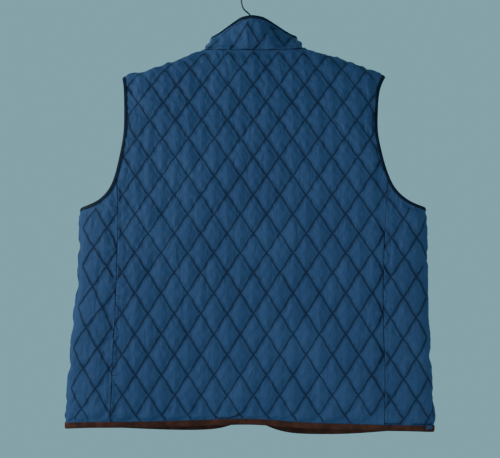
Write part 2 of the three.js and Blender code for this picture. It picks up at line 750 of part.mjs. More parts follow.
function backPanel() {
  const signed = (side, line) => line.map(([distance, z]) => [side * distance, z]);
  const seam = (side) => {
    const top = armholeEdge(side, 'back').at(-1)[1];
    const bottom = hemBackCurve(side * seamCurve[side](-820)) + tapeInset;
    return seamRows(side, top, bottom, (z) => seamCurve[side](z) - seamGap / 2);
  };
  const half = (side) => ({
    seam: seam(side), armhole: armholeEdge(side, 'back'), shoulder: shoulderLine(side, -shoulderGap / 2),
  });
  const [left, right] = [half(-1), half(1)];
  const ring = (side) => signed(side, armholeRing(side));
  const hemLine = hemPath.rear.map((stop) => stop.inside(tapeInset)).map(([side, u, z]) => [side * u, z])
    .filter(([x]) => x > -left.seam.at(-1)[0] + 3 && x < right.seam.at(-1)[0] - 3);
  hemLine.unshift([-left.seam.at(-1)[0], left.seam.at(-1)[1]]);
  // the shoulder edge ends where the armhole's tape begins
  const trim = (shoulder, armhole) => shoulder.filter(([, z]) => z > armhole[0][1] + 2.4);
  const neckRight = neckBackLine(1);
  const neckLeft = neckBackLine(-1);
  const edges = [
    { line: hemLine, margin: hemBindingWidth + 0.6, bound: true },
    { line: signed(1, [...right.seam].reverse()), margin: 1.5 },
    { line: signed(1, [...right.armhole].reverse()), margin: armholeMargin, bound: true, press: ring(1) },
    { line: signed(1, trim(right.shoulder, right.armhole).reverse()), margin: 1.5 },
    { line: signed(1, [...neckRight].reverse()), margin: 2 },
    { line: signed(-1, neckLeft), margin: 2 },
    { line: signed(-1, trim(left.shoulder, left.armhole)), margin: 1.5 },
    { line: signed(-1, left.armhole), margin: armholeMargin, bound: true, press: ring(-1) },
    { line: signed(-1, left.seam), margin: 1.5 },
  ];
  return panel({
    origin: { s: 2.5, t: 0 },
    edges: closed(edges, toBackPattern),
    drape: (s, t, h) => onBody(...backPlace(s, backColumns.height(s, t)), h),
    normalAt: (s, t) => bodyAxes(...backPlace(s, backColumns.height(s, t))).normal,
  });
}

// Turns edges into pattern coordinates and joins each to the start of the next.
function closed(edges, toPattern) {
  const lines = edges.map((edge) => edge.line.map(toPattern));
  return edges.map((edge, i) => ({
    ...edge,
    line: [...lines[i], lines[(i + 1) % lines.length][0]],
    press: edge.press?.map(toPattern),
  }));
}

// The bound edge from the neck down the left front, round its corner, along the hem and up the
// right front, in three runs that meet at the side seams.
const hemPath = (() => {
  const frontRun = (side) => {
    const corner = hemCorner[sideName(side)];
    const top = neckFrontLine(side).at(-1)[1] - 1.6;
    const run = [];
    const cornerTop = frontHem(side, -frontOverlap);
    for (let z = top; z > cornerTop + 4; z -= 6) run.push([-frontOverlap, z]);
    for (let i = 40; i >= 0; i--) {
      const s = corner.start - Math.sin((i / 40) * (Math.PI / 2)) * (corner.start + frontOverlap);
      run.push([s, frontHem(side, s)]);
    }
    const end = totalDistance(side, -820) - seamCurve[side](-820);
    for (let s = corner.start + 4; s < end - 2; s += 4) run.push([s, frontHem(side, s)]);
    run.push([end, frontHem(side, end)]);
    return run.map(([s, z]) => [side, totalDistance(side, z) - s, z]);
  };
  const rear = [];
  const [from, to] = [-seamCurve[-1](-820), seamCurve[1](-820)];
  for (let i = 0; i <= 120; i++) {
    const x = from + ((to - from) * i) / 120;
    rear.push([x < 0 ? -1 : 1, Math.abs(x), hemBackCurve(x)]);
  }
  return {
    left: boundEdge(frontRun(-1), 1),
    rear: boundEdge(rear, 1),
    right: boundEdge(frontRun(1).reverse(), 1),
  };
})();

// Fronts.
// Pattern coordinates of a front: the distance from the centre front, and up the cloth.

const frontPlace = (side) => (s, z) => [side, totalDistance(side, z) - s, z];
const frontColumns = { [-1]: makeColumns(frontPlace(-1)), 1: makeColumns(frontPlace(1)) };

function neckFrontLine(side) {
  const z0 = neckPoint[sideName(side)];
  const reach = totalDistance(side, z0) - foldDistance(side, z0);
  return resample([
    [reach - shoulderGap / 2, z0], ...neckFront.map((row) => [row.across * reach, row.z]),
  ], outlineStep);
}

function frontPanel(side) {
  const place = frontPlace(side);
  const columns = frontColumns[side];
  const fromCentre = ([distance, z]) => [totalDistance(side, z) - distance, z];
  const seamAt = (z) => totalDistance(side, z) - seamCurve[side](z) - seamGap / 2;
  const armhole = armholeEdge(side, 'front').map(fromCentre);
  const ring = armholeRing(side).map(fromCentre);
  const hemStops = hemPath[sideName(side)].map((stop) => stop.inside(tapeInset).slice(1)).map(fromCentre);
  const bottom = frontHem(side, seamAt(-820)) + tapeInset;
  const seam = seamRows(side, armhole[0][1], bottom, seamAt);
  const edge = -frontOverlap + tapeInset;
  const neck = neckFrontLine(side).filter(([s]) => s > edge + 0.5);
  const bound = hemStops.filter(([s, z]) => s < seam.at(-1)[0] - 3 && z < neck.at(-1)[1] - 3);
  if (side < 0) bound.reverse();
  bound.unshift(seam.pop());
  const shoulder = shoulderLine(side, shoulderGap / 2).map(fromCentre)
    .filter(([, z]) => z > armhole.at(-1)[1] + 2.4);
  const edges = [
    { line: seam, margin: 1.5 },
    { line: bound, margin: hemBindingWidth + 0.6, bound: true },
    { line: [...neck].reverse(), margin: 2 },
    { line: shoulder, margin: 1.5 },
    { line: [...armhole].reverse(), margin: armholeMargin, bound: true, press: ring },
  ];
  return panel({
    origin: side < 0 ? { s: 378, t: 11 } : { s: 395.5, t: -8 },
    edges: closed(edges, ([s, z]) => [s, columns.up(s, z)]),
    softness: (s) => smoothStep(13, 36, s),
    drape: (s, t, h) => onBody(...place(s, columns.height(s, t)), h),
    normalAt: (s, t) => bodyAxes(...place(s, columns.height(s, t))).normal,
  });
}

// Bindings.

// Sweeps a folded tape: each station gives the point at a depth from the edge and a height.
function tape(stations, width, loop, play = bindingPlay) {
  const inner = -play;
  const outer = wall + play;
  const section = [
    [0, inner - bindingWall + 0.5], [width, inner - bindingWall], [width, inner], [bindingWall, inner],
    [bindingWall, outer], [width, outer], [width, outer + bindingWall], [0, outer + bindingWall - 0.5],
  ];
  const n = section.length;
  const positions = [];
  for (const station of stations) {
    for (const [depth, height] of section) positions.push(station(depth, height));
  }
  const triangles = [];
  const rings = stations.length;
  for (let i = 0; i < (loop ? rings : rings - 1); i++) {
    for (let k = 0; k < n; k++) {
      const a = i * n + k;
      const b = i * n + ((k + 1) % n);
      const c = ((i + 1) % rings) * n + k;
      const d = ((i + 1) % rings) * n + ((k + 1) % n);
      triangles.push([a, b, d], [a, d, c]);
    }
  }
  if (!loop) {
    const cap = [[0, 1, 2], [0, 2, 3], [0, 3, 4], [0, 4, 7], [4, 5, 6], [4, 6, 7]];
    const end = (rings - 1) * n;
    for (const [a, b, c] of cap) {
      triangles.push([a, c, b]);
      triangles.push([end + a, end + b, end + c]);
    }
  }
  return toGeometry(positions, triangles);
}

function armholeBinding(side) {
  return tape(armholes[side].slice(0, -1).map((stop) => stop.station), armholeBindingWidth, true);
}

function hemBinding() {
  const stops = [...hemPath.left, ...hemPath.rear.slice(1), ...hemPath.right.slice(1)];
  return tape(stops.map((stop) => stop.station), hemBindingWidth, false);
}

// Collar.

const neckline = [];
for (const side of [-1, 1]) {
  const rear = neckBackLine(side).map(([distance, z]) => [side, distance, z]);
  const fore = neckFrontLine(side).map(([s, z]) => [side, totalDistance(side, z) - s, z]);
  const half = [...rear, ...fore.slice(1)];
  if (side < 0) neckline.push(...half.reverse());
  else neckline.push(...half.slice(1));
}
const neckPoints = neckline.map((place) => onBody(...place, wall / 2));
const neckCurve = new THREE.CatmullRomCurve3(neckPoints, false, 'centripetal');
neckCurve.arcLengthDivisions = 600;
const neckLength = neckCurve.getLength();
const centreBack = (() => {
  let best = 0;
  for (let i = 0; i <= 600; i++) {
    const p = neckCurve.getPointAt(i / 600);
    const q = neckCurve.getPointAt(best / 600);
    if (p.y < 0 && Math.abs(p.x) < Math.abs(q.x) + (q.y > 0 ? 1e6 : 0)) best = i;
  }
  return (best / 600) * neckLength;
})();
const leanCurve = {};
for (const column of ['outward', 'forward', 'upward']) {
  leanCurve[column] = curveOf(collarLean, 'share', column);
}

function collarSurface(s, t) {
  const place = Math.min(Math.max((centreBack + s) / neckLength, 0), 1);
  const foot = neckCurve.getPointAt(place);
  const half = s < 0 ? centreBack : neckLength - centreBack;
  const share = Math.min(Math.abs(s) / (half - frontOverlap), 1.05);
  const k = t / collarHeight;
  const bow = collarBow * 4 * k * (1 - k);
  const side = s < 0 ? -1 : 1;
  const spread = smoothStep(0, 0.2, share);
  return new THREE.Vector3(
    foot.x + side * (k * leanCurve.outward(share) + bow * 0.4 * spread),
    foot.y + k * leanCurve.forward(share) + bow * (share - 0.35) * 1.3,
    foot.z + k * leanCurve.upward(share));
}

function collarNormal(s, t) {
  const e = 2;
  const across = collarSurface(s + e, t).sub(collarSurface(s - e, t));
  const up = collarSurface(s, t + e).sub(collarSurface(s, t - e));
  return across.cross(up).normalize();
}

const onCollar = (s, t, h) => collarSurface(s, t).addScaledVector(collarNormal(s, t), h - wall / 2);
const collarEnds = { left: -centreBack + 1, right: neckLength - centreBack - 1 };

// Bound edge of the collar: up its left end, round a corner, along the top and down again.
const collarPath = (() => {
  const round = 11;
  const fine = [];
  const { left, right } = collarEnds;
  const arc = (cx, cy, from, to) => {
    for (let i = 0; i <= 6; i++) {
      const angle = ((from + ((to - from) * i) / 6) * Math.PI) / 180;
      fine.push([cx + round * Math.cos(angle), cy + round * Math.sin(angle)]);
    }
  };
  for (let t = 4.4; t < collarHeight - round - 2; t += 5) fine.push([left, t]);
  arc(left + round, collarHeight - round, 180, 90);
  for (let s = left + round + 5; s < right - round - 3; s += 5) fine.push([s, collarHeight]);
  arc(right - round, collarHeight - round, 90, 0);
  for (let t = collarHeight - round - 5; t > 4.4; t -= 5) fine.push([right, t]);
  fine.push([right, 4.4]);
  const points = fine.map(([s, t]) => collarSurface(s, t));
  const normals = fine.map(([s, t]) => collarNormal(s, t));
  return stationIndices(points, normals, collarSag).map((i) => {
    const a = fine[Math.max(i - 1, 0)];
    const b = fine[Math.min(i + 1, fine.length - 1)];
    const length = Math.hypot(b[0] - a[0], b[1] - a[1]);
    const inside = (depth) => [
      fine[i][0] + (depth * (b[1] - a[1])) / length, fine[i][1] - (depth * (b[0] - a[0])) / length];
    return { inside, station: (depth, height) => onCollar(...inside(depth), height) };
  });
})();

// The collar's foot stands off the neck seam where its wall leans most against the panels'.
const collarFoot = table('share start', [
  [0, 0.6], [0.24, 0.7], [0.3, 1.4], [0.345, 3.3], [0.42, 3.2], [0.6, 3.3], [0.67, 3.2],
  [0.76, 2], [0.85, 1.6], [1, 1.6], [1.05, 3.7],
]);
const footCurve = curveOf(collarFoot, 'share', 'start');

function collarFootAt(s) {
  const half = s < 0 ? centreBack : neckLength - centreBack;
  return footCurve(Math.min(Math.abs(s) / (half - frontOverlap), 1.05));
}

function collarPanel() {
  const rim = collarPath.map((stop) => stop.inside(collarInset));
  const [from, to] = [rim[0][0], rim.at(-1)[0]];
  rim[0][1] = collarFootAt(from);
  rim.at(-1)[1] = collarFootAt(to);
  const foot = [];
  const count = Math.round((to - from) / outlineStep);
  for (let i = 0; i < count; i++) {
    const s = from + ((to - from) * i) / count;
    foot.push([s, collarFootAt(s)]);
  }
  const edges = [
    { line: foot, margin: 2 },
    { line: rim.reverse(), margin: collarBindingWidth + 0.6, bound: true },
  ];
  return panel({
    origin: { s: 14, t: 11.5 },
    edges: closed(edges, (p) => p),
    softness: (s) => smoothStep(33, 52, Math.min(s - collarEnds.left, collarEnds.right - s)),
    drape: onCollar,
    normalAt: collarNormal,
  });
}

function collarBinding() {
  return tape(collarPath.map((stop) => stop.station), collarBindingWidth, false, collarPlay);
}

// Studs, hanger and hook.

function stud(z) {
  const profile = [
    [0, 0], [studRadius, 0], [studRadius, 0.8], [studRadius * 0.62, studHeight], [0, studHeight],
  ].map(([x, y]) => new THREE.Vector2(x, y));
  const geometry = new THREE.LatheGeometry(profile, 9);
  const distance = totalDistance(-1, z) + studOffset;
  const { normal } = bodyAxes(-1, distance, z);
  const mesh = new THREE.Mesh(geometry, new THREE.MeshStandardMaterial({
    color: darkNavy, roughness: 0.35, metalness: 0.6,
  }));
  mesh.quaternion.setFromUnitVectors(new THREE.Vector3(0, 1, 0), normal);
  mesh.position.copy(onBody(-1, distance, z, wall + 0.3));
  return mesh;
}

function ridge(x) {
  const side = x < 0 ? -1 : 1;
  let [low, high] = [-205, -100];
  for (let i = 0; i < 40; i++) {
    const mid = (low + high) / 2;
    if (sectionCurve[sideName(side)](mid) > Math.abs(x)) low = mid;
    else high = mid;
  }
  return { z: low, y: sectionCurve.side(low) };
}

function hangerBar() {
  const stations = 18;
  const sides = 8;
  const points = [];
  for (let i = 0; i <= stations; i++) {
    const x = -barReach + (2 * barReach * i) / stations;
    const held = ridge(Math.max(Math.abs(x), 92) * Math.sign(x || 1));
    const arm = held.z - barClearance;
    const inner = ridge(92 * Math.sign(x || 1)).z - barClearance;
    const k = Math.min(Math.abs(x) / 92, 1);
    const middle = barCentreTop + (inner - barCentreTop) * (1.35 * k * k - 0.35 * k ** 4);
    const topZ = Math.abs(x) < 92 ? middle : arm;
    const taper = Math.sqrt(Math.max(1 - (Math.abs(x) / (barReach + 3)) ** 10, 0.02));
    points.push({ x, y: held.y, z: topZ - barHeight / 2, taper });
  }
  const positions = [];
  for (const p of points) {
    for (let k = 0; k < sides; k++) {
      const angle = (2 * Math.PI * k) / sides;
      const round = (v) => Math.sign(v) * Math.abs(v) ** 0.8;
      positions.push(new THREE.Vector3(
        p.x,
        p.y + round(Math.cos(angle)) * (barWidth / 2) * p.taper,
        p.z + round(Math.sin(angle)) * (barHeight / 2) * p.taper));
    }
  }
  const triangles = [];
  for (let i = 0; i < stations; i++) {
    for (let k = 0; k < sides; k++) {
      const a = i * sides + k;
      const b = i * sides + ((k + 1) % sides);
      triangles.push([a, b, b + sides], [a, b + sides, a + sides]);
    }
  }
  const last = stations * sides;
  for (let k = 1; k < sides - 1; k++) {
    triangles.push([0, k + 1, k], [last, last + k, last + k + 1]);
  }
  const bar = solidOf(toGeometry(positions, triangles));
  const bore = new THREE.CylinderGeometry(wireRadius + 0.35, wireRadius + 0.35, shankDepth + 20, 12);
  bore.rotateX(Math.PI / 2);
  bore.translate(0, sectionCurve.side(-126), barCentreTop - shankDepth - 0.3 + (shankDepth + 20) / 2);
  const drilled = cleaned(faces(bar.subtract(solidOf(bore))), 0.02);
  return toGeometry(drilled.points.map(([x, y, z]) => new THREE.Vector3(x, y, z)), drilled.triangles);
}

// The hook rises from the bar, swings left and runs over the top to an open end on the right.
class HookLine extends THREE.Curve {
  constructor() {
    super();
    const y = sectionCurve.side(-126);
    const centre = wireRadius - hookRadius;
    const line = [
      new THREE.Vector3(0, y, barCentreTop - shankDepth), new THREE.Vector3(0, y, -95),
      new THREE.Vector3(0, y, -78), new THREE.Vector3(-0.6, y * 0.9, -66),
      new THREE.Vector3(-5.5, y * 0.6, -58.5), new THREE.Vector3(-14.5, y * 0.3, -52),
      new THREE.Vector3(-18.6, 0, -45), new THREE.Vector3(-20.1, 0, -32),
    ];
    for (let degrees = 180; degrees >= -28; degrees -= 20) {
      const angle = (degrees * Math.PI) / 180;
      line.push(new THREE.Vector3(hookRadius * Math.cos(angle), 0, centre + hookRadius * Math.sin(angle)));
    }
    this.spline = new THREE.CatmullRomCurve3(line, false, 'centripetal');
  }

  getPoint(t, target = new THREE.Vector3()) {
    return this.spline.getPoint(t, target);
  }
}

function hookWire() {
  const section = new THREE.Shape();
  const sides = 6;
  for (let k = 0; k < sides; k++) {
    const angle = (2 * Math.PI * k) / sides;
    const [x, y] = [wireRadius * Math.cos(angle), wireRadius * Math.sin(angle)];
    if (k === 0) section.moveTo(x, y);
    else section.lineTo(x, y);
  }
  return new THREE.ExtrudeGeometry(section, { steps: 22, extrudePath: new HookLine() });
}

// The vest.

const group = new THREE.Group();
const cloth = () => new THREE.MeshStandardMaterial({ color: navy, roughness: 0.55, metalness: 0 });
const darkTape = () => new THREE.MeshStandardMaterial({ color: darkNavy, roughness: 0.7 });

function add(name, geometry, material) {
  const mesh = new THREE.Mesh(geometry, material);
  mesh.name = name;
  group.add(mesh);
}

add('back', backPanel(), cloth());
add('front_left', frontPanel(-1), cloth());
add('front_right', frontPanel(1), cloth());
add('collar', collarPanel(), cloth());
add('collar_binding', collarBinding(), darkTape());
add('armhole_binding_left', armholeBinding(-1), darkTape());
add('armhole_binding_right', armholeBinding(1), darkTape());
add('hem_binding', hemBinding(), new THREE.MeshStandardMaterial({ color: brown, roughness: 0.85 }));
studRows.forEach((z, i) => {
  const mesh = stud(z);
  mesh.name = `press_stud_${i + 1}`;
  group.add(mesh);
});
add('hanger', hangerBar(), new THREE.MeshStandardMaterial({ color: black, roughness: 0.5 }));
add('hook', hookWire(), new THREE.MeshStandardMaterial({ color: black, roughness: 0.4, metalness: 0.8 }));

export default group;
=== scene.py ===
import math

import bmesh
import bpy
import numpy as np
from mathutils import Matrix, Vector
from mathutils.bvhtree import BVHTree
from mathutils.kdtree import KDTree


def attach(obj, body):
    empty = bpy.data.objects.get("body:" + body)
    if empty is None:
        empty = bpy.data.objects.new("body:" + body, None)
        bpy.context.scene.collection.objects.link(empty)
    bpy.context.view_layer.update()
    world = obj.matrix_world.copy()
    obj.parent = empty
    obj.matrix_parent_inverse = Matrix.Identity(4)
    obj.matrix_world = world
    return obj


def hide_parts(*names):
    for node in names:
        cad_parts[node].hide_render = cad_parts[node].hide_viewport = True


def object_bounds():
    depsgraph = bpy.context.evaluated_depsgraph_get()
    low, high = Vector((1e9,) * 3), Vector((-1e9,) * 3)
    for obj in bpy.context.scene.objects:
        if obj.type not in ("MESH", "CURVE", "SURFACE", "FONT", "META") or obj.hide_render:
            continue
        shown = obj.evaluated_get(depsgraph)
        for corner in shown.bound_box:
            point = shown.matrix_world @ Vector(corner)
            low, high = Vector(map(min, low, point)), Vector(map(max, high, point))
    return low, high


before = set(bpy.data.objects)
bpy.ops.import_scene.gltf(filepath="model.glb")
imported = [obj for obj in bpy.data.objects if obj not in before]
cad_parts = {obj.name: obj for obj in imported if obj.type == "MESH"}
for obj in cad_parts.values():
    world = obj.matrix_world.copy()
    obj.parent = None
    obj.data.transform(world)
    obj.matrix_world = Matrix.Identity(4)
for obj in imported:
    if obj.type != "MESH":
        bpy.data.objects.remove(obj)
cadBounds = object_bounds()
print("frame loaded:", len(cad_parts), "nodes")


# selection and copies

def pick(obj):
    if bpy.context.object and bpy.context.object.mode != "OBJECT":
        bpy.ops.object.mode_set(mode="OBJECT")
    bpy.ops.object.select_all(action="DESELECT")
    obj.select_set(True)
    bpy.context.view_layer.objects.active = obj
    return obj


def copyNode(node, name):
    # a merged copy of a frame node, ready to be worked on
    piece = bpy.data.objects.new(name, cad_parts[node].data.copy())
    bpy.context.scene.collection.objects.link(piece)
    piece.data.materials.clear()
    pick(piece)
    bpy.ops.object.mode_set(mode="EDIT")
    bpy.ops.mesh.select_all(action="SELECT")
    bpy.ops.mesh.remove_doubles(threshold=1e-6)
    bpy.ops.object.mode_set(mode="OBJECT")
    return piece


def applyAll(piece):
    pick(piece)
    for modifier in list(piece.modifiers):
        bpy.ops.object.modifier_apply(modifier=modifier.name)


def smoothShaded(piece, angle):
    pick(piece)
    bpy.ops.object.shade_smooth_by_angle(angle=math.radians(angle))


def mount(piece, nodes, material):
    piece.data.materials.clear()
    piece.data.materials.append(material)
    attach(piece, "root")
    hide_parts(*nodes)


# shader maths as expressions

class Value:
    def __init__(self, finish, socket):
        self.finish = finish
        self.socket = socket

    def math(self, operation, other=None):
        values = [v for v in (self, other) if v is not None]
        node = self.finish.node("ShaderNodeMath", {"operation": operation}, dict(enumerate(values)))
        return Value(self.finish, node.outputs[0])

    def turned(self, operation, other):
        node = self.finish.node("ShaderNodeMath", {"operation": operation}, {0: other, 1: self})
        return Value(self.finish, node.outputs[0])

    def __add__(self, other):
        return self.math("ADD", other)

    __radd__ = __add__

    def __sub__(self, other):
        return self.math("SUBTRACT", other)

    def __rsub__(self, other):
        return self.turned("SUBTRACT", other)

    def __mul__(self, other):
        return self.math("MULTIPLY", other)

    def sine(self):
        return self.math("SINE")

    def between(self, low, high):
        # 0 below low, 1 above high, smooth between
        settings = {"interpolation_type": "SMOOTHSTEP"}
        node = self.finish.node("ShaderNodeMapRange", settings, {0: self, 1: low, 2: high, 3: 0.0, 4: 1.0})
        return Value(self.finish, node.outputs[0])


class Finish:
    def __init__(self, name, **fixed):
        self.material = bpy.data.materials.new(name)
        self.material.use_nodes = True
        self.tree = self.material.node_tree
        self.shader = self.tree.nodes["Principled BSDF"]
        for socket, value in fixed.items():
            self.shader.inputs[socket.replace("_", " ")].default_value = value

    def node(self, kind, settings, sockets):
        node = self.tree.nodes.new(kind)
        for name, value in settings.items():
            setattr(node, name, value)
        for key, value in sockets.items():
            self.join(node.inputs[key], value)
        return node

    def join(self, socket, value):
        if isinstance(value, Value):
            self.tree.links.new(value.socket, socket)
        elif isinstance(value, bpy.types.NodeSocket):
            self.tree.links.new(value, socket)
        else:
            socket.default_value = value

    def feed(self, socket, value):
        self.join(self.shader.inputs[socket], value)

    def place(self):
        # Object coordinates, and their three parts
        where = self.node("ShaderNodeTexCoord", {}, {}).outputs["Object"]
        parts = self.node("ShaderNodeSeparateXYZ", {}, {0: where}).outputs
        return where, [Value(self, part) for part in parts]

    def stretched(self, where, scale):
        mapping = self.node("ShaderNodeMapping", {}, {"Vector": where, "Scale": scale})
        return mapping.outputs[0]

    def noise(self, where, scale, detail=2.0, roughness=0.5, distortion=0.0):
        sockets = {
            "Vector": where, "Scale": scale, "Detail": detail, "Roughness": roughness,
            "Distortion": distortion,
        }
        return Value(self, self.node("ShaderNodeTexNoise", {}, sockets).outputs[0])

    def attribute(self, name):
        return Value(self, self.node("ShaderNodeAttribute", {"attribute_name": name}, {}).outputs["Fac"])

    def mixed(self, factor, first, second):
        node = self.node("ShaderNodeMix", {"data_type": "RGBA"}, {0: factor, 6: first, 7: second})
        return node.outputs[2]

    def bump(self, height, distance, strength=1.0, under=None):
        sockets = {"Height": height, "Distance": distance, "Strength": strength}
        if under is not None:
            sockets["Normal"] = under
        return self.node("ShaderNodeBump", {}, sockets).outputs[0]


# quilted cloth

quilting = {
    "creaseAngle": 50,         # degrees, past which a panel's rim turns into its face
    "smoothAngle": 60,         # degrees
    "wall": 0.0018,            # cloth at a stitch line
    "wallPlay": 0.0003,        # a point this little above the wall lies on a stitch line
    "dip": 0.0007,             # so does one that lies this much below a neighbour
    "leastRise": 0.0006,       # given to every point off the stitch lines
    "heldRise": 0.00004,       # points that rise less are held
    "straight": 0.975,         # least cosine of the bend from one edge of a stitch line to the next
    "shortLine": 0.026,        # shorter runs of low edges are no stitch lines
    "rimBand": 0.0075,         # nor are runs this close to a panel's sewn edge
    "rimSteps": 4,             # steps in which each edge of the rim is measured
    "nearest": 8,              # stitch edges that are measured from each point
    "cuts": 3,                 # cuts of each facet's edge
    "frames": 16,
    "pressure": 2.0,
    "shrink": -0.03,           # negative: the cloth is this share longer than its span
    "cap": 0.0015,             # farthest that a point may move from its place
    "crown": 0.0016,           # added to a diamond halfway up its sides
    "crest": 0.0042,           # rise of the frame's diamonds in their middles
    "panelRounds": 3,          # of smoothing, before the cloth is blown out
    "collarRounds": 2,
    "lastRounds": 1,           # and after it
}

navy = {
    # painted shade: the dark colour of the shadow in the grooves along the stitch lines
    "paintedGrooveShade": (0.0058, 0.0175, 0.0470, 1),
    "cloth": (0.0180, 0.0460, 0.1100, 1),
    "worn": (0.0270, 0.0610, 0.1350, 1),
    "thread": (0.0028, 0.0100, 0.0290, 1),
    "lineWidth": 0.85,         # millimetres from a stitch line's middle to its edge
    "weavePitch": 0.00062,
    "stitchLength": 0.0034,
    "paintedShadeReach": (0.4, 4.5),  # millimetres from a stitch line over which its painted shade fades
    "puckerReach": (1.0, 8.0), # and over which its puckers do
    "patchScale": 9.0,
    "streakScale": 38.0,
    "creaseScale": 48.0,
    "puckerScale": 150.0,
    "rowScale": 130.0,
    "creaseDepth": 0.0065,
    "puckerDepth": 0.0022,
    "weaveDepth": 0.00025,
}


def panelSides(mesh, angle):
    # splits a panel's faces at its rim, and gives the outer face and the lining
    work = bmesh.new()
    work.from_mesh(mesh)
    work.faces.ensure_lookup_table()
    limit = math.radians(angle)
    seen = set()
    groups = []
    for face in work.faces:
        if face.index in seen:
            continue
        seen.add(face.index)
        stack = [face]
        group = []
        while stack:
            here = stack.pop()
            group.append(here)
            for edge in here.edges:
                if edge.calc_face_angle(0) > limit:
                    continue
                for other in edge.link_faces:
                    if other.index not in seen:
                        seen.add(other.index)
                        stack.append(other)
        groups.append((sum(f.calc_area() for f in group), [f.index for f in group]))
    work.free()
    groups.sort(reverse=True)
    outer, lining = sorted((g[1] for g in groups[:2]), key=len, reverse=True)
    return outer, lining


def markRise(piece):
    # rise: how far each point of the outer face stands off its stitch lines
    # seam: 1 at the panel's sewn edges, 0 inside
    mesh = piece.data
    outer, lining = panelSides(mesh, quilting["creaseAngle"])
    points = [v.co.copy() for v in mesh.vertices]
    inside = BVHTree.FromPolygons(points, [tuple(mesh.polygons[i].vertices) for i in lining])
    outerSet = set(outer)
    rimPoints = set()
    near = {}
    across = {}
    for i, polygon in enumerate(mesh.polygons):
        if i not in outerSet:
            rimPoints.update(polygon.vertices)
            continue
        for v in polygon.vertices:
            near.setdefault(v, set()).update(polygon.vertices)
            pair = tuple(sorted(other for other in polygon.vertices if other != v))
            across.setdefault(pair, set()).add(v)
    height = {v: inside.find_nearest(points[v])[3] for v in near}
    for v in near:
        near[v].discard(v)
    inner = set(near) - rimPoints
    low = set()
    for v in inner:
        around = [height[n] for n in near[v] if n in inner]
        drop = height[v] - min(around, default=height[v])
        climb = max(around, default=height[v]) - height[v]
        dips = climb > drop and climb > quilting["dip"]
        if dips or height[v] < quilting["wall"] + quilting["wallPlay"]:
            low.add(v)
    values = np.zeros(len(points), np.float32)
    for v in inner - low:
        foot = [height[n] for n in near[v] if n in low]
        base = sum(foot) / len(foot) if foot else quilting["wall"]
        values[v] = max(height[v] - base, quilting["leastRise"])
    mesh.attributes.new("rise", "FLOAT", "POINT").data.foreach_set("value", values)
    edges = np.zeros(len(points), np.float32)
    edges[[v for v in near if v in rimPoints]] = 1
    mesh.attributes.new("seam", "FLOAT", "POINT").data.foreach_set("value", edges)
    besidePadding = {pair for pair, others in across.items() if others & (inner - low)}
    return outer, inside, stitchEdges(mesh, points, near, low, rimPoints, besidePadding)


def stitchEdges(mesh, points, near, low, rimPoints, besidePadding):
    # edges along the stitch lines: beside padding, in long straight runs away from the rim
    arms = {}
    rim = []
    steps = quilting["rimSteps"]
    for edge in mesh.edges:
        a, b = edge.vertices
        if a in rimPoints and b in rimPoints and a in near and b in near:
            rim += [points[a].lerp(points[b], k / steps) for k in range(steps + 1)]
        if (min(a, b), max(a, b)) not in besidePadding:
            continue
        for a, b in ((a, b), (b, a)):
            if a in low and b in near[a] and (b in low or b in rimPoints):
                arms.setdefault(a, {})[b] = (points[b] - points[a]).normalized()
    owner = {}

    def root(key):
        while owner.setdefault(key, key) != key:
            key = owner[key]
        return key

    for a, ways in arms.items():
        for b, way in ways.items():
            for c, other in ways.items():
                if b < c and way.dot(other) < -quilting["straight"]:
                    owner[root((min(a, b), max(a, b)))] = root((min(a, c), max(a, c)))
    lines = {}
    for key in owner:
        lines.setdefault(root(key), []).append(key)
    tree = KDTree(len(rim))
    for i, point in enumerate(rim):
        tree.insert(point, i)
    tree.balance()
    kept = []
    for line in lines.values():
        ends = [v for pair in line for v in pair]
        apart = sum(tree.find(points[v])[2] for v in ends) / len(ends)
        length = sum((points[a] - points[b]).length for a, b in line)
        if length > quilting["shortLine"] and apart > quilting["rimBand"]:
            kept += line
    return sorted(kept)


def markStitches(piece, points, stitches):
    # distance in millimetres from each point to the nearest stitch line
    start = np.array([points[a][:] for a, b in stitches])
    along = np.array([points[b][:] for a, b in stitches]) - start
    square = (along ** 2).sum(axis=1)
    middles = KDTree(len(stitches))
    for i, (a, b) in enumerate(stitches):
        middles.insert((points[a] + points[b]) / 2, i)
    middles.balance()
    here = readPoints(piece.data)
    gaps = np.zeros(len(here), np.float32)
    for v, point in enumerate(here):
        closest = [i for _, i, _ in middles.find_n(point, quilting["nearest"])]
        share = np.clip(((point - start[closest]) * along[closest]).sum(axis=1) / square[closest], 0, 1)
        off = point - start[closest] - along[closest] * share[:, None]
        gaps[v] = np.sqrt((off ** 2).sum(axis=1).min()) * 1000
    piece.data.attributes.new("stitchGap", "FLOAT", "POINT").data.foreach_set("value", gaps)


def divideFaces(piece, faces, cuts):
    pick(piece)
    bpy.ops.object.mode_set(mode="EDIT")
    bpy.ops.mesh.select_mode(type="FACE")
    bpy.ops.object.mode_set(mode="OBJECT")
    wanted = set(faces)
    for polygon in piece.data.polygons:
        polygon.select = polygon.index in wanted
    bpy.ops.object.mode_set(mode="EDIT")
    bpy.ops.mesh.subdivide(number_cuts=cuts, ngon=False)
    bpy.ops.object.mode_set(mode="OBJECT")


def readPoints(mesh):
    flat = np.zeros(len(mesh.vertices) * 3, np.float32)
    mesh.vertices.foreach_get("co", flat)
    return flat.reshape(-1, 3)


